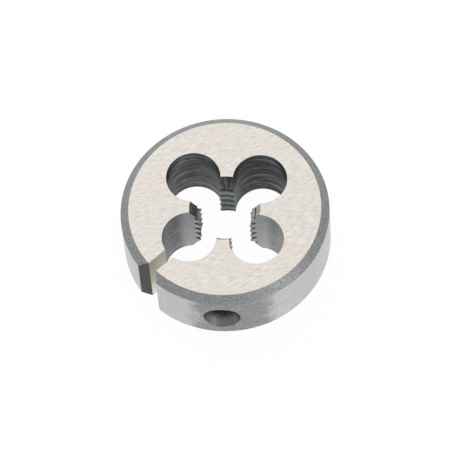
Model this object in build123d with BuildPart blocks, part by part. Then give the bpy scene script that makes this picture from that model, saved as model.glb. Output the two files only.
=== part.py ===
"""Split round threading die for an M6 x 1 thread: one piece of hardened steel, 20 mm across and 7 mm thick.

The die stands flat on its back face. The origin is on the bore's axis at that face, and +Z runs up the bore.
The four cutting lands lie on the X and Y axes, with a clearance hole between each pair.
The slot that splits the ring runs out of the clearance hole at 225 degrees.
"""

import os
from math import ceil, cos, radians, sin, sqrt, tan

from build123d import *

# Sizes in millimetres and degrees.

# The round body.
outer_diameter = 20.0
thickness = 7.0
rim_chamfer_width = 0.78
rim_chamfer_height = 0.65

# The thread that the die cuts: a right-hand metric thread.
thread_diameter = 6.0
thread_pitch = 1.0
thread_flank_angle = 30.0
first_groove_height = 0.22

# The lead cone that opens each end of the threaded bore.
lead_mouth_diameter = 6.8
lead_cone_half_angle = 30.0

# The clearance holes that take the chips and leave the cutting lands standing between them.
land_count = 4
clearance_hole_diameter = 5.2
clearance_circle_diameter = 9.06

# The slot that lets the ring spring open or shut, and the notch at its mouth for the spreading screw.
slot_angle = 225.0
slot_width = 1.1
notch_depth = 0.83
notch_flank_angle = 45.0

# The cone-shaped seats in the rim for the clamping screws, one each side of the slot.
dimple_spacing_angle = 46.0
dimple_diameter = 3.7
dimple_cone_half_angle = 30.0

# How far a cutter reaches past the surface it cuts.
cutter_overrun = 0.5

# Worked out from the sizes above.
outer_radius = outer_diameter / 2
face_radius = outer_radius - rim_chamfer_width
mouth_radius = lead_mouth_diameter / 2
clearance_circle_radius = clearance_circle_diameter / 2
land_spacing_angle = 360 / land_count

# The metric profile: a sharp V of height H would fill a whole pitch. The crest of a land stands 5/8 H
# inside the thread's outer radius, and the groove runs on to the point of its V, 1/8 H outside it.
sharp_v_height = sqrt(3) / 2 * thread_pitch
crest_radius = thread_diameter / 2 - sharp_v_height * 5 / 8
root_radius = thread_diameter / 2 + sharp_v_height / 8
lead_height = (mouth_radius - crest_radius) / tan(radians(lead_cone_half_angle))

# A V-shaped cutter follows the thread's helix across one land, starting in the clearance hole before it
# and ending in the one after it.
groove_arc_angle = land_spacing_angle * 2 / 3
groove_mouth_radius = crest_radius - thread_pitch / 10
groove_mouth_half_width = (root_radius - groove_mouth_radius) * tan(radians(thread_flank_angle))

with BuildPart() as groove_cutter:
    with BuildLine() as groove_path:
        Helix(pitch=thread_pitch, height=thread_pitch * groove_arc_angle / 360, radius=crest_radius)
    with BuildSketch(Plane.XZ):
        with BuildLine():
            Polyline(
                (root_radius, 0),
                (groove_mouth_radius, groove_mouth_half_width),
                (groove_mouth_radius, -groove_mouth_half_width),
                close=True,
            )
        make_face()
    sweep(path=groove_path.wire(), is_frenet=True)

# Going round the bore, each land's groove stands higher than the one before by its share of the pitch.
rise_per_land = thread_pitch / land_count
first_cut = -land_count
last_cut = ceil((thickness / thread_pitch + 1) * land_count)
rise_to_land_middle = thread_pitch * groove_arc_angle / 2 / 360
groove_places = [
    Location(
        (0, 0, first_groove_height + cut * rise_per_land - rise_to_land_middle),
        (0, 0, cut * land_spacing_angle - groove_arc_angle / 2),
    )
    for cut in range(first_cut, last_cut)
]

with BuildPart() as die_body:
    # The blank is turned: rim, both chamfered corners, bore and a lead cone at each end.
    with BuildSketch(Plane.XZ):
        with BuildLine():
            Polyline(
                (mouth_radius, 0),
                (face_radius, 0),
                (outer_radius, rim_chamfer_height),
                (outer_radius, thickness - rim_chamfer_height),
                (face_radius, thickness),
                (mouth_radius, thickness),
                (crest_radius, thickness - lead_height),
                (crest_radius, lead_height),
                close=True,
            )
        make_face()
    revolve(axis=Axis.Z)

    # The clearance holes are drilled right through, and each opens into the bore.
    with PolarLocations(clearance_circle_radius, land_count, start_angle=land_spacing_angle / 2):
        Hole(radius=clearance_hole_diameter / 2)

    # The thread grooves leave the cutting teeth standing on the lands.
    with Locations(groove_places):
        add(groove_cutter.part, mode=Mode.SUBTRACT)

    # The slot runs straight out from a clearance hole, and the notch flares its mouth.
    notch_start = outer_radius - notch_depth
    slot_end = outer_radius + cutter_overrun
    notch_end_half_width = slot_width / 2 + (slot_end - notch_start) * tan(radians(notch_flank_angle))
    with BuildSketch(Plane.XY.rotated((0, 0, slot_angle))):
        with Locations((clearance_circle_radius, 0)):
            Rectangle(slot_end - clearance_circle_radius, slot_width, align=(Align.MIN, Align.CENTER))
        with BuildLine():
            Polyline(
                (notch_start, -slot_width / 2),
                (slot_end, -notch_end_half_width),
                (slot_end, notch_end_half_width),
                (notch_start, slot_width / 2),
                close=True,
            )
        make_face()
    extrude(amount=thickness, mode=Mode.SUBTRACT)

    # The dimples are countersunk into the rim at half the body's thickness.
    dimple_depth = dimple_diameter / 2 / tan(radians(dimple_cone_half_angle))
    dimple_cutter_length = dimple_depth + cutter_overrun
    for dimple_angle in (slot_angle - dimple_spacing_angle, slot_angle + dimple_spacing_angle):
        outward = Vector(cos(radians(dimple_angle)), sin(radians(dimple_angle)), 0)
        dimple_tip = outward * (outer_radius - dimple_depth) + Vector(0, 0, thickness / 2)
        with Locations(Plane(origin=dimple_tip, z_dir=outward)):
            Cone(
                bottom_radius=0,
                top_radius=dimple_cutter_length * tan(radians(dimple_cone_half_angle)),
                height=dimple_cutter_length,
                align=(Align.CENTER, Align.CENTER, Align.MIN),
                mode=Mode.SUBTRACT,
            )

os.makedirs("parts", exist_ok=True)
die_body.part.label = "die_body"
export_step(die_body.part, "parts/die_body.step")
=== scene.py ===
from math import cos, pi, radians, sin, sqrt, tan

import bmesh
import bpy
from mathutils import Matrix, Vector


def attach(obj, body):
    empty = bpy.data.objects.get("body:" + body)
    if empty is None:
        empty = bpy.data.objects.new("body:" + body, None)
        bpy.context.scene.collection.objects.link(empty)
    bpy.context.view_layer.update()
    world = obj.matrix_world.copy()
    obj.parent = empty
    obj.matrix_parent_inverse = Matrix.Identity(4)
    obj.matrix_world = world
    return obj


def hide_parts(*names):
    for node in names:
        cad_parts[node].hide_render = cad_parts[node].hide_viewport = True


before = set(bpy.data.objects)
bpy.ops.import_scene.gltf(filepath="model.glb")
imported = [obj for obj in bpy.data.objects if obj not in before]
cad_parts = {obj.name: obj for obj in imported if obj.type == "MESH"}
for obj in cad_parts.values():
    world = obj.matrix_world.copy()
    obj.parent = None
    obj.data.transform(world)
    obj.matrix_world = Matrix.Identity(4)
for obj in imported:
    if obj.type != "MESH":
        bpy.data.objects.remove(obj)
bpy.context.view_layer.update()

# The blank.
# A disc of tool steel, turned to 20 mm and parted off at 7 mm. Both corners are chamfered, the bore is
# opened to the thread's crest with a lead cone at each end, and the two faces are ground flat.
# The shapes are worked in millimetres and brought to metres when the die is whole.
metres_per_millimetre = 0.001
thickness = 7.0
outer_radius = 9.9955
face_radius = 9.22
rim_chamfer_height = 0.65
crest_radius = 2.459
lead_mouth_radius = 3.4
lead_height = 1.63
edge_break = 0.012
blank_steps = 288


def turned(name, profile, steps, finishes, steel=()):
    """A shape spun from a closed profile of (radius, height) points, with one finish for each side."""
    form = bmesh.new()
    rings = []
    for radius, height in profile:
        if radius == 0:
            rings.append([form.verts.new((0, 0, height))])
            continue
        turns = [2 * pi * (step + 0.5) / steps for step in range(steps)]
        rings.append([form.verts.new((radius * cos(turn), radius * sin(turn), height)) for turn in turns])
    for side, finish in enumerate(finishes):
        near, far = rings[side], rings[(side + 1) % len(rings)]
        if len(near) == 1 and len(far) == 1:
            continue
        for step in range(steps):
            after = (step + 1) % steps
            corners = [near[step % len(near)], near[after % len(near)]]
            corners += [far[after % len(far)], far[step % len(far)]]
            face = form.faces.new(list(dict.fromkeys(corners)))
            face.material_index = finish
    bmesh.ops.recalc_face_normals(form, faces=form.faces)
    mesh = bpy.data.meshes.new(name)
    form.to_mesh(mesh)
    form.free()
    for finish in steel:
        mesh.materials.append(finish)
    piece = bpy.data.objects.new(name, mesh)
    bpy.context.scene.collection.objects.link(piece)
    return piece


class Steel:
    """A steel finish whose pattern lies in the piece's own millimetres."""

    def __init__(self, name):
        self.material = bpy.data.materials.new(name)
        self.material.use_nodes = True
        self.nodes = self.material.node_tree.nodes
        self.links = self.material.node_tree.links
        self.shader = self.nodes["Principled BSDF"]
        self.shader.inputs["Metallic"].default_value = 1.0
        self.place = self.nodes.new("ShaderNodeTexCoord").outputs["Object"]

    def stretched(self, turn=0.0, along=1.0, across=1.0, upward=1.0):
        """Places for a pattern with this many units a millimetre along, across and up."""
        mapping = self.nodes.new("ShaderNodeMapping")
        mapping.vector_type = "TEXTURE"
        mapping.inputs["Rotation"].default_value = (0, 0, radians(turn))
        unit_sizes = [metres_per_millimetre / units for units in (along, across, upward)]
        mapping.inputs["Scale"].default_value = unit_sizes
        self.links.new(self.place, mapping.inputs["Vector"])
        return mapping.outputs["Vector"]

    def around(self, around=1.0, upward=1.0):
        """Places that follow a turned surface: the turn about the bore's axis, and the height."""
        apart = self.nodes.new("ShaderNodeSeparateXYZ")
        self.links.new(self.place, apart.inputs[0])
        turn = self.worked("ARCTAN2", apart.outputs["Y"], apart.outputs["X"])
        width = self.worked("MULTIPLY", turn, around)
        height = self.worked("MULTIPLY", apart.outputs["Z"], upward / metres_per_millimetre)
        together = self.nodes.new("ShaderNodeCombineXYZ")
        self.links.new(width, together.inputs["X"])
        self.links.new(height, together.inputs["Y"])
        return together.outputs[0]

    def worked(self, operation, *values):
        """One step of arithmetic on patterns and numbers."""
        node = self.nodes.new("ShaderNodeMath")
        node.operation = operation
        for place, value in enumerate(values):
            if isinstance(value, (int, float)):
                node.inputs[place].default_value = value
            else:
                self.links.new(value, node.inputs[place])
        return node.outputs[0]

    def way(self, *direction):
        """How far a point lies along a direction from the bore's foot, in millimetres."""
        reach = self.nodes.new("ShaderNodeVectorMath")
        reach.operation = "DOT_PRODUCT"
        self.links.new(self.place, reach.inputs[0])
        reach.inputs[1].default_value = [share / metres_per_millimetre for share in direction]
        return reach.outputs["Value"]

    def from_bore(self):
        """How far a point lies from the bore's axis, in millimetres."""
        squares = [self.worked("POWER", self.way(*axis), 2.0) for axis in ((1, 0, 0), (0, 1, 0))]
        return self.worked("SQRT", self.worked("ADD", *squares))

    def rising(self, value, start, end, low=0.0, high=1.0):
        """A soft step from low to high as the value goes from start to end."""
        step = self.nodes.new("ShaderNodeMapRange")
        step.interpolation_type = "SMOOTHSTEP"
        for socket, bound in (("From Min", start), ("From Max", end), ("To Min", low), ("To Max", high)):
            step.inputs[socket].default_value = bound
        self.links.new(value, step.inputs["Value"])
        return step.outputs["Result"]

    def noise(self, places, detail=4.0, roughness=0.6):
        """A cloudy pattern over those places."""
        node = self.nodes.new("ShaderNodeTexNoise")
        node.inputs["Scale"].default_value = 1.0
        node.inputs["Detail"].default_value = detail
        node.inputs["Roughness"].default_value = roughness
        self.links.new(places, node.inputs["Vector"])
        return node.outputs["Fac"]

    def blend(self, amount, dark, light, low=0.3, high=0.7):
        """A colour from dark to light as the amount goes from low to high."""
        node = self.nodes.new("ShaderNodeValToRGB")
        node.color_ramp.elements[0].position = low
        node.color_ramp.elements[1].position = high
        node.color_ramp.elements[0].color = (*dark, 1)
        node.color_ramp.elements[1].color = (*light, 1)
        self.links.new(amount, node.inputs["Fac"])
        return node.outputs["Color"]

    def marks_across(self, direction, spread):
        """Tool marks spread the light across themselves, along this direction."""
        across = self.nodes.new("ShaderNodeCombineXYZ")
        for axis, share in zip("XYZ", direction):
            across.inputs[axis].default_value = share
        self.links.new(across.outputs[0], self.shader.inputs["Tangent"])
        self.shader.inputs["Anisotropic"].default_value = spread

    def finish(self, colour, rough_from, roughness, relief, depth):
        """Ends a finish: its colour, its roughness over a pattern, and its relief in millimetres."""
        self.links.new(colour, self.shader.inputs["Base Color"])
        spread = self.nodes.new("ShaderNodeMapRange")
        spread.inputs["To Min"].default_value = roughness[0]
        spread.inputs["To Max"].default_value = roughness[1]
        self.links.new(rough_from, spread.inputs["Value"])
        self.links.new(spread.outputs["Result"], self.shader.inputs["Roughness"])
        bump = self.nodes.new("ShaderNodeBump")
        bump.inputs["Strength"].default_value = 1.0
        bump.inputs["Distance"].default_value = depth * metres_per_millimetre
        self.links.new(relief, bump.inputs["Height"])
        self.links.new(bump.outputs["Normal"], self.shader.inputs["Normal"])
        return self.material


# The ground faces carry fine straight lines from the wheel, all one way.
grinding_angle = 25.0
face_steel = Steel("ground_face")
across_lines = radians(grinding_angle + 90)
face_steel.marks_across((cos(across_lines), sin(across_lines), 0), spread=0.5)
fine_lines = face_steel.noise(
    face_steel.stretched(turn=grinding_angle, along=1.2, across=11.0, upward=1.0), detail=3.0, roughness=0.6
)
broad_marks = face_steel.noise(
    face_steel.stretched(turn=grinding_angle, along=0.9, across=1.4, upward=1.0), detail=3.0, roughness=0.55
)
fine_share, broad_share = 0.9, 0.1
face_pattern = face_steel.worked(
    "ADD",
    face_steel.worked("MULTIPLY", fine_lines, fine_share),
    face_steel.worked("MULTIPLY", broad_marks, broad_share),
)
ground_face = face_steel.finish(
    colour=face_steel.blend(
        face_pattern, dark=(0.63, 0.592, 0.551), light=(0.935, 0.887, 0.838), low=0.32, high=0.68
    ),
    rough_from=fine_lines,
    roughness=(0.52, 0.6),
    relief=fine_lines,
    depth=0.001,
)

# The chamfers are turned with a form tool and stay darker than the ground faces.
chamfer_steel = Steel("turned_chamfer")
chamfer_steel.marks_across((0, 0, 1), spread=0.3)
chamfer_rings = chamfer_steel.noise(chamfer_steel.around(around=7.0, upward=14.0), detail=4.0)
chamfer_grain = chamfer_steel.noise(
    chamfer_steel.stretched(turn=0, along=7.0, across=7.0, upward=7.0), detail=3.0
)
turned_chamfer = chamfer_steel.finish(
    colour=chamfer_steel.blend(chamfer_grain, dark=(0.163, 0.168, 0.174), light=(0.408, 0.410, 0.412)),
    rough_from=chamfer_rings,
    roughness=(0.36, 0.5),
    relief=chamfer_rings,
    depth=0.002,
)

# The rim keeps fine turning lines and the mottled grain of hardened steel.
rim_steel = Steel("turned_rim")
rim_steel.marks_across((0, 0, 1), spread=0.9)
rim_lines = rim_steel.noise(rim_steel.around(around=7.0, upward=7.0), detail=4.0)
rim_grain = rim_steel.noise(rim_steel.stretched(turn=0, along=7.0, across=7.0, upward=7.0), detail=3.0)
# Painted shade with an uneven edge darkens the rim beside one dimple: the die's shadow on the sheet, as the
# rim would mirror it.
rim_shade_azimuth = radians(-83)
rim_shade_edge, rim_shade_middle = 9.0, 9.65
rim_shade_wander = 1.1
rim_shade_depth = 0.25
grain_share, line_share = 0.6, 0.4
rim_shade_cloud = rim_steel.noise(rim_steel.stretched(turn=0, along=0.7, across=0.7, upward=0.7), detail=4.0)
rim_shade_reach = rim_steel.way(cos(rim_shade_azimuth), sin(rim_shade_azimuth), 0)
wander = rim_steel.worked("MULTIPLY", rim_steel.worked("SUBTRACT", rim_shade_cloud, 0.5), rim_shade_wander)
rim_shade_reach = rim_steel.worked("ADD", rim_shade_reach, wander)
rim_painted_shade = rim_steel.rising(rim_shade_reach, rim_shade_edge, rim_shade_middle, low=0.0, high=-rim_shade_depth)
rim_pattern = rim_steel.worked(
    "ADD",
    rim_steel.worked("MULTIPLY", rim_grain, grain_share),
    rim_steel.worked("MULTIPLY", rim_lines, line_share),
)
rim_tone = rim_steel.worked("ADD", rim_pattern, rim_painted_shade)
turned_rim = rim_steel.finish(
    colour=rim_steel.blend(
        rim_tone, dark=(0.155, 0.16, 0.161), light=(0.86, 0.865, 0.85), low=0.1, high=0.8
    ),
    rough_from=rim_lines,
    roughness=(0.3, 0.4),
    relief=rim_lines,
    depth=0.0012,
)

# The lead cones are reamed before the thread is cut.
cone_steel = Steel("reamed_lead_cone")
cone_marks = cone_steel.noise(cone_steel.around(around=11.0, upward=0.8), detail=4.0)
# One side, towards the front right, is painted paler as a painted highlight, and the rest keeps its dark
# scale.
cone_light_from, cone_light_to = 0.2, 1.6
cone_light_lift = 0.46
cone_mark_share = 0.6
cone_painted_highlight = cone_steel.way(sqrt(0.5), -sqrt(0.5), 0)
cone_painted_highlight = cone_steel.rising(cone_painted_highlight, cone_light_from, cone_light_to, low=0.0, high=cone_light_lift)
cone_tone = cone_steel.worked("ADD", cone_steel.worked("MULTIPLY", cone_marks, cone_mark_share), cone_painted_highlight)
reamed_cone = cone_steel.finish(
    colour=cone_steel.blend(
        cone_tone, dark=(0.06, 0.06, 0.062), light=(0.92, 0.91, 0.89), low=0.24, high=0.8
    ),
    rough_from=cone_marks,
    roughness=(0.5, 0.65),
    relief=cone_marks,
    depth=0.003,
)

FACE, CHAMFER, RIM, CONE = range(4)
blank_steels = [ground_face, turned_chamfer, turned_rim, reamed_cone]
# Each sharp corner is broken by two points close to it: how far in they lie, and how far up.
corner_in = edge_break / 2
corner_run, face_rise, rim_rise = corner_in * 0.7, corner_in * 0.55, corner_in * 0.6
blank_profile = [
    (lead_mouth_radius, 0),
    (face_radius - corner_in, 0),
    (face_radius + corner_run, face_rise),
    (outer_radius - corner_run, rim_chamfer_height - rim_rise),
    (outer_radius, rim_chamfer_height + corner_in),
    (outer_radius, thickness - rim_chamfer_height - corner_in),
    (outer_radius - corner_run, thickness - rim_chamfer_height + rim_rise),
    (face_radius + corner_run, thickness - face_rise),
    (face_radius - corner_in, thickness),
    (lead_mouth_radius, thickness),
    (crest_radius, thickness - lead_height),
    (crest_radius, lead_height),
]
blank_finishes = [FACE, CHAMFER, CHAMFER, RIM, RIM, RIM, CHAMFER, CHAMFER, FACE, CONE, CONE, CONE]
die = turned("die", blank_profile, blank_steps, blank_finishes, blank_steels)

# The chip clearance holes.
# Four holes are drilled right through round the bore. Each breaks into it, so that a cutting land is left
# between each pair, and the drill leaves fine rings down the walls.
hole_radius = 2.6
hole_circle_radius = 4.53
hole_count = 4
first_hole_angle = 45.0
hole_break = 0.012
hole_steps = 112
cutter_overrun = 0.5

hole_steel = Steel("drilled_hole")
hole_steel.marks_across((0, 0, 1), spread=0.7)
drill_rings = hole_steel.noise(
    hole_steel.stretched(turn=0, along=0.2, across=0.2, upward=3.2), detail=3.0, roughness=0.6
)
hole_bands = hole_steel.noise(
    hole_steel.stretched(turn=0, along=1.8, across=1.8, upward=0.9), detail=4.0, roughness=0.6
)
fine_ring_start, fine_ring_end, fine_ring_lift = 0.44, 0.76, 0.2
fine_rings = hole_steel.noise(
    hole_steel.stretched(turn=0, along=0.3, across=0.3, upward=5.0), detail=2.0, roughness=0.5
)
fine_rings = hole_steel.rising(fine_rings, fine_ring_start, fine_ring_end, low=0.0, high=fine_ring_lift)
# Scale from hardening lies on the walls away from the bore. The walls towards the back, away from the bore,
# are painted darker still as painted shade. The drill's rings show where there is scale or painted shade, and
# the walls beside the lands are dressed clean of the scale.
unshaded_radius, shaded_radius = 3.0, 3.7
dressed_radius, dull_radius = 3.7, 4.9
back_shade_start, back_shade_end = -0.5, 3.0
hole_shade_from, hole_shade_to = 2.5, 4.5
hole_light_from, hole_light_to = 2.5, 4.5
hole_shade_drop, hole_light_lift = 0.055, 0.15
clean_tone, thin_scale_drop, back_wall_shade_tone = 0.6, 0.32, 0.17
ring_share, band_share = 0.26, 0.18
from_bore = hole_steel.from_bore()
far_walls = hole_steel.rising(from_bore, unshaded_radius, shaded_radius)
back_wall_shade = hole_steel.rising(hole_steel.way(0, 1, 0), back_shade_start, back_shade_end)
back_wall_shade = hole_steel.worked("MULTIPLY", back_wall_shade, far_walls)
thin_scale = hole_steel.rising(from_bore, dressed_radius, dull_radius)
scale_and_shade = hole_steel.worked("MAXIMUM", back_wall_shade, thin_scale)
bare_tone = hole_steel.worked("MULTIPLY", thin_scale, thin_scale_drop)
bare_tone = hole_steel.worked("SUBTRACT", clean_tone, bare_tone)
bare_tone = hole_steel.worked("MULTIPLY", bare_tone, hole_steel.worked("SUBTRACT", 1.0, back_wall_shade))
bare_tone = hole_steel.worked("ADD", bare_tone, hole_steel.worked("MULTIPLY", back_wall_shade, back_wall_shade_tone))
ring_tone = hole_steel.worked("MULTIPLY", fine_rings, scale_and_shade)
hole_tone = hole_steel.worked(
    "ADD",
    hole_steel.worked("MULTIPLY", drill_rings, ring_share),
    hole_steel.worked("MULTIPLY", hole_bands, band_share),
)
hole_tone = hole_steel.worked("ADD", hole_steel.worked("ADD", hole_tone, ring_tone), bare_tone)
# One hole, at the back right, is painted darker as painted shade, and another, at the front right, is painted
# paler as painted light.
hole_painted_shade = hole_steel.way(sqrt(0.5), sqrt(0.5), 0)
hole_painted_shade = hole_steel.rising(hole_painted_shade, hole_shade_from, hole_shade_to, low=0.0, high=-hole_shade_drop)
hole_painted_light = hole_steel.way(sqrt(0.5), -sqrt(0.5), 0)
hole_painted_light = hole_steel.rising(hole_painted_light, hole_light_from, hole_light_to, low=0.0, high=hole_light_lift)
hole_tone = hole_steel.worked("ADD", hole_tone, hole_steel.worked("ADD", hole_painted_shade, hole_painted_light))
drilled_hole = hole_steel.finish(
    colour=hole_steel.blend(
        hole_tone, dark=(0.021, 0.022, 0.026), light=(0.57, 0.573, 0.584), low=0.34, high=1.0
    ),
    rough_from=drill_rings,
    roughness=(0.34, 0.5),
    relief=drill_rings,
    depth=0.003,
)

drill_profile = [
    (0, -cutter_overrun),
    (hole_radius + hole_break + cutter_overrun, -cutter_overrun),
    (hole_radius, hole_break),
    (hole_radius, thickness - hole_break),
    (hole_radius + hole_break + cutter_overrun, thickness + cutter_overrun),
    (0, thickness + cutter_overrun),
]
drill = turned("drill", drill_profile, hole_steps, [0] * len(drill_profile), [drilled_hole])


def node_tree(name, sizes, has_input=True):
    """A named tree of Geometry Nodes with a geometry socket each way and one input for each size."""
    tree = bpy.data.node_groups.new(name, "GeometryNodeTree")
    if has_input:
        tree.interface.new_socket("Geometry", in_out="INPUT", socket_type="NodeSocketGeometry")
    for size, value in sizes.items():
        kind = "NodeSocketInt" if isinstance(value, int) else "NodeSocketFloat"
        tree.interface.new_socket(size, in_out="INPUT", socket_type=kind)
    tree.interface.new_socket("Geometry", in_out="OUTPUT", socket_type="NodeSocketGeometry")
    return tree, tree.nodes.new("NodeGroupInput"), tree.nodes.new("NodeGroupOutput")


def end_tree(tree, geometry, output, steel):
    """Every tree ends by making its copies real and giving them their steel."""
    real = tree.nodes.new("GeometryNodeRealizeInstances")
    coat = tree.nodes.new("GeometryNodeSetMaterial")
    coat.inputs["Material"].default_value = steel
    tree.links.new(geometry, real.inputs[0])
    tree.links.new(real.outputs[0], coat.inputs["Geometry"])
    tree.links.new(coat.outputs["Geometry"], output.inputs[0])


def grown(piece, tree, sizes):
    """The piece with the tree's result as its plain mesh."""
    growth = piece.modifiers.new(tree.name, "NODES")
    growth.node_group = tree
    for socket in tree.interface.items_tree:
        if socket.in_out == "INPUT" and socket.name in sizes:
            growth[socket.identifier] = sizes[socket.name]
    seen = piece.evaluated_get(bpy.context.evaluated_depsgraph_get())
    made = bpy.data.meshes.new_from_object(seen)
    piece.modifiers.clear()
    piece.data = made
    return piece


ring_sizes = {
    "Holes": hole_count,
    "Circle Radius": hole_circle_radius,
    "First Angle": radians(first_hole_angle),
}
ring_tree, ring_in, ring_out = node_tree("hole_ring", ring_sizes)
circle = ring_tree.nodes.new("GeometryNodeMeshCircle")
circle_turn = ring_tree.nodes.new("GeometryNodeTransform")
turn_axis = ring_tree.nodes.new("ShaderNodeCombineXYZ")
copies = ring_tree.nodes.new("GeometryNodeInstanceOnPoints")
ring_tree.links.new(ring_in.outputs["Holes"], circle.inputs["Vertices"])
ring_tree.links.new(ring_in.outputs["Circle Radius"], circle.inputs["Radius"])
ring_tree.links.new(ring_in.outputs["First Angle"], turn_axis.inputs["Z"])
ring_tree.links.new(circle.outputs["Mesh"], circle_turn.inputs["Geometry"])
ring_tree.links.new(turn_axis.outputs[0], circle_turn.inputs["Rotation"])
ring_tree.links.new(circle_turn.outputs["Geometry"], copies.inputs["Points"])
ring_tree.links.new(ring_in.outputs["Geometry"], copies.inputs["Instance"])
end_tree(ring_tree, copies.outputs["Instances"], ring_out, drilled_hole)


def cut(piece, cutter):
    """The cutter's shape taken out of the piece, its steel left on the cut walls."""
    knife = piece.modifiers.new("cut", "BOOLEAN")
    knife.operation = "DIFFERENCE"
    knife.solver = "EXACT"
    knife.use_self = False
    knife.material_mode = "TRANSFER"
    knife.object = cutter
    seen = piece.evaluated_get(bpy.context.evaluated_depsgraph_get())
    made = bpy.data.meshes.new_from_object(seen)
    piece.modifiers.clear()
    piece.data = made
    bpy.data.objects.remove(cutter)


# Neighbouring holes stand clear of each other, so the four drills cut as one.
cut(die, grown(drill, ring_tree, ring_sizes))

# The thread.
# A right-hand M6 x 1 thread is tapped through the bore. One V-shaped groove winds up the axis and leaves
# six or so teeth standing on each land, cut away to nothing in the lead cones.
thread_pitch = 1.0
thread_flank_angle = 30.0
first_groove_height = 0.22
thread_radius = 3.0
sharp_v_height = sqrt(3) / 2 * thread_pitch
# The sharp V ends an eighth of its height past the thread's radius, and starts a little inside the bore.
root_radius = thread_radius + sharp_v_height / 8
groove_mouth_radius = crest_radius - thread_pitch / 10
groove_mouth_half_width = (root_radius - groove_mouth_radius) * tan(radians(thread_flank_angle))
groove_turns = 10.0
root_flat_half_width = 0.012
groove_steps = 120

land_steel = Steel("tapped_flank")
tap_marks = land_steel.noise(land_steel.around(around=6.0, upward=9.0), detail=4.0)
tap_grain = land_steel.noise(land_steel.stretched(turn=0, along=3.0, across=3.0, upward=3.0), detail=3.0)
# The flanks are painted darker towards the root of the groove: partly painted shade in the groove, partly
# dirt in the root.
root_shade_start, root_shade_full = 2.46, 2.9
crest_side_lift, tap_grain_share = 0.5, 0.5
flank_tone = land_steel.rising(land_steel.from_bore(), root_shade_start, root_shade_full, low=crest_side_lift, high=0.0)
flank_tone = land_steel.worked("ADD", land_steel.worked("MULTIPLY", tap_grain, tap_grain_share), flank_tone)
tapped_flank = land_steel.finish(
    colour=land_steel.blend(
        flank_tone, dark=(0.016, 0.018, 0.018), light=(0.30, 0.33, 0.315), low=0.22, high=0.8
    ),
    rough_from=tap_marks,
    roughness=(0.4, 0.52),
    relief=tap_marks,
    depth=0.002,
)
# The crests are painted near black: painted shade, for the dark of the shadowed bore that they mirror.
crest_steel = Steel("thread_crest")
crest_marks = crest_steel.noise(crest_steel.stretched(turn=0, along=2.5, across=2.5, upward=2.5), detail=4.0)
thread_crest = crest_steel.finish(
    colour=crest_steel.blend(crest_marks, dark=(0.030, 0.033, 0.032), light=(0.075, 0.082, 0.078)),
    rough_from=crest_marks,
    roughness=(0.36, 0.5),
    relief=crest_marks,
    depth=0.002,
)

groove_sizes = {
    "Pitch": thread_pitch,
    "Turns": groove_turns,
    "Helix Radius": crest_radius,
    "Root Reach": root_radius - root_flat_half_width / tan(radians(thread_flank_angle)) - crest_radius,
    "Root Half Width": root_flat_half_width,
    "Mouth Reach": groove_mouth_radius - crest_radius,
    "Mouth Half Width": groove_mouth_half_width,
    "Start Height": first_groove_height - thread_pitch,
}
groove_tree, groove_in, groove_out = node_tree("thread_groove", groove_sizes, has_input=False)
helix = groove_tree.nodes.new("GeometryNodeCurveSpiral")
helix.inputs["Resolution"].default_value = groove_steps
helix.inputs["Reverse"].default_value = True
climb = groove_tree.nodes.new("ShaderNodeMath")
climb.operation = "MULTIPLY"
upright = groove_tree.nodes.new("GeometryNodeSetCurveNormal")
upright.mode = "Z_UP"
section = groove_tree.nodes.new("GeometryNodeCurvePrimitiveQuadrilateral")
section.mode = "POINTS"
winding = groove_tree.nodes.new("GeometryNodeCurveToMesh")
winding.inputs["Fill Caps"].default_value = True
lowered = groove_tree.nodes.new("GeometryNodeTransform")
lowering = groove_tree.nodes.new("ShaderNodeCombineXYZ")
join = groove_tree.links.new
join(groove_in.outputs["Pitch"], climb.inputs[0])
join(groove_in.outputs["Turns"], climb.inputs[1])
join(climb.outputs[0], helix.inputs["Height"])
join(groove_in.outputs["Turns"], helix.inputs["Rotations"])
join(groove_in.outputs["Helix Radius"], helix.inputs["Start Radius"])
join(groove_in.outputs["Helix Radius"], helix.inputs["End Radius"])
# The groove's section: two corners at the root and two at the mouth.
for point, reach, half_width, side in (
    ("Point 1", "Root Reach", "Root Half Width", 1),
    ("Point 2", "Mouth Reach", "Mouth Half Width", 1),
    ("Point 3", "Mouth Reach", "Mouth Half Width", -1),
    ("Point 4", "Root Reach", "Root Half Width", -1),
):
    corner = groove_tree.nodes.new("ShaderNodeCombineXYZ")
    sideways = groove_tree.nodes.new("ShaderNodeMath")
    sideways.operation = "MULTIPLY"
    sideways.inputs[1].default_value = side
    join(groove_in.outputs[half_width], sideways.inputs[0])
    join(groove_in.outputs[reach], corner.inputs["X"])
    join(sideways.outputs[0], corner.inputs["Y"])
    join(corner.outputs[0], section.inputs[point])
join(helix.outputs["Curve"], upright.inputs["Curve"])
join(upright.outputs["Curve"], winding.inputs["Curve"])
join(section.outputs["Curve"], winding.inputs["Profile Curve"])
join(groove_in.outputs["Start Height"], lowering.inputs["Z"])
join(winding.outputs["Mesh"], lowered.inputs["Geometry"])
join(lowering.outputs[0], lowered.inputs["Translation"])
end_tree(groove_tree, lowered.outputs["Geometry"], groove_out, tapped_flank)
# The tap starts as a small stub, and its tree puts the whole groove in the stub's place.
stub_profile = [(0, 0), (1, 0), (0, 1)]
stub_steps = 3
tap = turned("tap", stub_profile, stub_steps, [0] * len(stub_profile), [tapped_flank])
cut(die, grown(tap, groove_tree, groove_sizes))


crest_tolerance = 0.02


def is_crest(face):
    """A face of the bore between two grooves, painted dark as shade."""
    middle = face.center
    return face.material_index == CONE and abs(middle.xy.length - crest_radius) < crest_tolerance


die.data.materials.append(thread_crest)
crest_place = die.data.materials.find(thread_crest.name)
for face in die.data.polygons:
    if is_crest(face):
        face.material_index = crest_place

# The slot and the notch.
# One slitting cut runs out from a clearance hole to the rim, so that the ring can spring. A 90 degree
# notch flares its mouth for the spreading screw's point.
slot_angle = 225.0
slot_half_width = 0.55
notch_start = 9.17
notch_reach = 10.5
slot_break = 0.008

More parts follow.
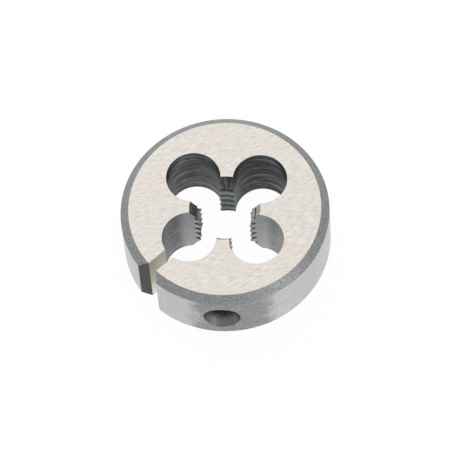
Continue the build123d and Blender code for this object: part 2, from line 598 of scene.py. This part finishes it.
slot_steel = Steel("slit_slot")
saw_lines = slot_steel.noise(
    slot_steel.stretched(turn=slot_angle, along=0.6, across=0.6, upward=9.0), detail=4.0
)
slit_slot = slot_steel.finish(
    colour=slot_steel.blend(saw_lines, dark=(0.625, 0.62, 0.555), light=(0.905, 0.895, 0.82)),
    rough_from=saw_lines,
    roughness=(0.36, 0.5),
    relief=saw_lines,
    depth=0.003,
)
notch_steel = Steel("milled_notch")
mill_lines = notch_steel.noise(notch_steel.stretched(turn=0, along=5.0, across=5.0, upward=5.0), detail=4.0)
milled_notch = notch_steel.finish(
    colour=notch_steel.blend(mill_lines, dark=(0.045, 0.047, 0.050), light=(0.080, 0.082, 0.086)),
    rough_from=mill_lines,
    roughness=(0.36, 0.5),
    relief=mill_lines,
    depth=0.002,
)


def slit(name, levels, outline, finishes, steel):
    """A cutter lofted through the outline at each (height, growth) level, with one finish for each side."""
    form = bmesh.new()
    rows = []
    turn = Matrix.Rotation(radians(slot_angle), 4, "Z")
    for height, growth in levels:
        corners = [turn @ Vector((along, across, height)) for along, across in outline(growth)]
        rows.append([form.verts.new(corner) for corner in corners])
    for near, far in zip(rows, rows[1:]):
        for side, finish in enumerate(finishes):
            after = (side + 1) % len(near)
            form.faces.new([near[side], near[after], far[after], far[side]]).material_index = finish
    form.faces.new(rows[0])
    form.faces.new(rows[-1])
    bmesh.ops.recalc_face_normals(form, faces=form.faces)
    mesh = bpy.data.meshes.new(name)
    form.to_mesh(mesh)
    form.free()
    for finish in steel:
        mesh.materials.append(finish)
    piece = bpy.data.objects.new(name, mesh)
    bpy.context.scene.collection.objects.link(piece)
    return piece


def slot_outline(growth):
    """The slot and its notch seen from above, along the slot and across it, grown by the edge's break."""
    slot = slot_half_width + growth
    flare = slot + notch_reach - notch_start
    return [
        (hole_circle_radius, slot),
        (hole_circle_radius, -slot),
        (notch_start, -slot),
        (notch_reach, -flare),
        (notch_reach, flare),
        (notch_start, slot),
    ]


slot_levels = [
    (-cutter_overrun, slot_break + cutter_overrun),
    (slot_break, 0),
    (thickness - slot_break, 0),
    (thickness + cutter_overrun, slot_break + cutter_overrun),
]
SLOT, NOTCH = range(2)
slot_finishes = [SLOT, SLOT, NOTCH, NOTCH, NOTCH, SLOT]
cut(die, slit("slitting_saw", slot_levels, slot_outline, slot_finishes, [slit_slot, milled_notch]))

# The dimples.
# A seat for a clamping screw's point is countersunk in the rim on each side of the slot. The holder's
# screws press in both to close the ring.
dimple_spacing_angle = 46.0
# A seat has this radius at this distance from the bore's axis.
dimple_radius = 1.85
mouth_distance = 10.0
dimple_cone_half_angle = 30.0
dimple_steps = 128

dimple_steel = Steel("countersunk_dimple")
sink_marks = dimple_steel.noise(dimple_steel.stretched(turn=0, along=4.0, across=4.0, upward=4.0), detail=4.0)
# The seat is painted darker towards its bottom as painted shade in the hollow, and paler towards its mouth.
dimple_shade_start, dimple_shade_full = 8.8, 9.6
mouth_lift, sink_mark_share = 0.3, 0.3
dimple_painted_shade = dimple_steel.from_bore()
dimple_painted_shade = dimple_steel.rising(dimple_painted_shade, dimple_shade_start, dimple_shade_full, low=0.0, high=mouth_lift)
sink_tone = dimple_steel.worked("MULTIPLY", sink_marks, sink_mark_share)
sink_tone = dimple_steel.worked("ADD", sink_tone, dimple_painted_shade)
countersunk_dimple = dimple_steel.finish(
    colour=dimple_steel.blend(
        sink_tone, dark=(0.014, 0.015, 0.018), light=(0.30, 0.305, 0.31), low=0.14, high=0.8
    ),
    rough_from=sink_marks,
    roughness=(0.3, 0.44),
    relief=sink_marks,
    depth=0.004,
)
cone_slope = tan(radians(dimple_cone_half_angle))
dimple_depth = dimple_radius / cone_slope
sink_length = dimple_depth + cutter_overrun
sink_profile = [(0, 0), (sink_length * cone_slope, sink_length), (0, sink_length)]
sink_finishes = [0] * len(sink_profile)
sink_place = Matrix.Translation((mouth_distance - dimple_depth, 0, thickness / 2))
laid_out = sink_place @ Matrix.Rotation(pi / 2, 4, "Y")
for dimple_angle in (slot_angle - dimple_spacing_angle, slot_angle + dimple_spacing_angle):
    countersink = turned("countersink", sink_profile, dimple_steps, sink_finishes, [countersunk_dimple])
    countersink.data.transform(Matrix.Rotation(radians(dimple_angle), 4, "Z") @ laid_out)
    cut(die, countersink)

# The hardened die.
# The finished die is hardened right through. It is one piece of tool steel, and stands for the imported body.
sharp_corner = radians(17)
die.data.transform(Matrix.Scale(metres_per_millimetre, 4))
die.data.polygons.foreach_set("use_smooth", [True] * len(die.data.polygons))
die.data.set_sharp_from_angle(angle=sharp_corner)
evened = die.modifiers.new("even_faces", "WEIGHTED_NORMAL")
evened.mode = "FACE_AREA"
evened.keep_sharp = True
die.name = "die"
die.data.name = "die"
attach(die, "root")
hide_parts("die_body")

# The room.
# The die lies on a plain white sheet in a pale room. Three equal soft lamps light it, one in front on the
# right and two behind, and the room gives most of the light.
sheet_half_width = 0.4
sheet_height = -0.00002
paper_colour = (0.93, 0.93, 0.93, 1)
paper_roughness = 0.9


def white_where_seen(nodes, links, lit, shares):
    """A strength of 1 mixed into the sheet for each kind of ray, so that it is white and keeps its shadow."""
    path = nodes.new("ShaderNodeLightPath")
    total = None
    for ray, share in shares.items():
        part = nodes.new("ShaderNodeMath")
        part.operation = "MULTIPLY"
        part.inputs[1].default_value = share
        links.new(path.outputs[ray], part.inputs[0])
        if total is None:
            total = part.outputs[0]
            continue
        most = nodes.new("ShaderNodeMath")
        most.operation = "MAXIMUM"
        links.new(part.outputs[0], most.inputs[0])
        links.new(total, most.inputs[1])
        total = most.outputs[0]
    glow = nodes.new("ShaderNodeEmission")
    mixed = nodes.new("ShaderNodeMixShader")
    links.new(total, mixed.inputs["Fac"])
    links.new(lit, mixed.inputs[1])
    links.new(glow.outputs[0], mixed.inputs[2])
    return mixed.outputs[0]


sheet_mesh = bpy.data.meshes.new("sheet")
corner_signs = ((-1, -1), (1, -1), (1, 1), (-1, 1))
sheet_corners = [(x * sheet_half_width, y * sheet_half_width, sheet_height) for x, y in corner_signs]
sheet_mesh.from_pydata(sheet_corners, [], [(0, 1, 2, 3)])
sheet = bpy.data.objects.new("sheet", sheet_mesh)
bpy.context.scene.collection.objects.link(sheet)
paper = bpy.data.materials.new("white_sheet")
paper.use_nodes = True
paper_nodes, paper_links = paper.node_tree.nodes, paper.node_tree.links
paper_shader = paper_nodes["Principled BSDF"]
paper_shader.inputs["Base Color"].default_value = paper_colour
paper_shader.inputs["Roughness"].default_value = paper_roughness
paper_shader.inputs["Specular IOR Level"].default_value = 0.0
white_shares = {"Is Camera Ray": 0.97, "Is Transmission Ray": 0.97, "Is Glossy Ray": 1.0}
paper_surface = white_where_seen(paper_nodes, paper_links, paper_shader.outputs[0], white_shares)
# From below the sheet is left out, so that the die's underside can be looked at.
below = paper_nodes.new("ShaderNodeNewGeometry")
unseen = paper_nodes.new("ShaderNodeBsdfTransparent")
one_sided = paper_nodes.new("ShaderNodeMixShader")
paper_links.new(below.outputs["Backfacing"], one_sided.inputs["Fac"])
paper_links.new(paper_surface, one_sided.inputs[1])
paper_links.new(unseen.outputs[0], one_sided.inputs[2])
paper_links.new(one_sided.outputs[0], paper_nodes["Material Output"].inputs["Surface"])
sheet_mesh.materials.append(paper)

room = bpy.data.worlds.new("room")
bpy.context.scene.world = room
room.use_nodes = True
room_nodes = room.node_tree.nodes
air = room_nodes["Background"]
air.inputs["Color"].default_value = (1, 1, 1, 1)
room_strength = 0.87
seen_strength = 1.0
to_the_eye = room_nodes.new("ShaderNodeLightPath")
backdrop = room_nodes.new("ShaderNodeMath")
backdrop.operation = "MULTIPLY_ADD"
backdrop.inputs[1].default_value = seen_strength - room_strength
backdrop.inputs[2].default_value = room_strength
room.node_tree.links.new(to_the_eye.outputs["Is Camera Ray"], backdrop.inputs[0])
room.node_tree.links.new(backdrop.outputs[0], air.inputs["Strength"])


def lamp(name, place, width, power):
    """A square soft lamp that faces the die."""
    light = bpy.data.lights.new(name, "AREA")
    light.size = width
    light.energy = power
    fixture = bpy.data.objects.new(name, light)
    fixture.location = place
    fixture.rotation_mode = "QUATERNION"
    fixture.rotation_quaternion = (-Vector(place)).to_track_quat("-Z", "Y")
    bpy.context.scene.collection.objects.link(fixture)


lamp_distance = 0.45
lamp_width = 0.25
lamp_power = 0.2
lamp_directions = (("front_right", 320, 22), ("back", 100, 22), ("back_left", 140, 45))
for lamp_name, lamp_azimuth, lamp_elevation in lamp_directions:
    stand = cos(radians(lamp_elevation)) * lamp_distance
    lamp_height = sin(radians(lamp_elevation)) * lamp_distance
    lamp_place = (stand * cos(radians(lamp_azimuth)), stand * sin(radians(lamp_azimuth)), lamp_height)
    lamp(lamp_name, lamp_place, lamp_width, lamp_power)

# The camera stands in front of the die and looks steeply down.
camera_elevation = radians(63.03)
camera_roll = radians(-5.22)
camera_heading = radians(7.91)
camera_distance = 0.3755
camera_right_shift = -0.0323e-3
camera_up_shift = 1.6201e-3
camera = bpy.data.objects.new("camera", bpy.data.cameras.new("camera"))
bpy.context.scene.collection.objects.link(camera)
bpy.context.scene.camera = camera
camera.data.sensor_width = 36.0
camera.data.lens = 315.0
camera.data.clip_start = 0.01
camera.data.clip_end = 10.0
away = Vector((0, -cos(camera_elevation), sin(camera_elevation)))
level = Vector((1, 0, 0))
upward = Vector((0, sin(camera_elevation), cos(camera_elevation)))
camera_x = cos(camera_roll) * level + sin(camera_roll) * upward
camera_y = -sin(camera_roll) * level + cos(camera_roll) * upward
facing = Matrix((camera_x, camera_y, away)).transposed().to_4x4()
aim = away * camera_distance - camera_x * camera_right_shift - camera_y * camera_up_shift
top_middle = Matrix.Translation((0, 0, thickness * metres_per_millimetre))
camera.matrix_world = top_middle @ Matrix.Rotation(camera_heading, 4, "Z") @ Matrix.Translation(aim) @ facing

bpy.context.scene.view_settings.view_transform = "Standard"
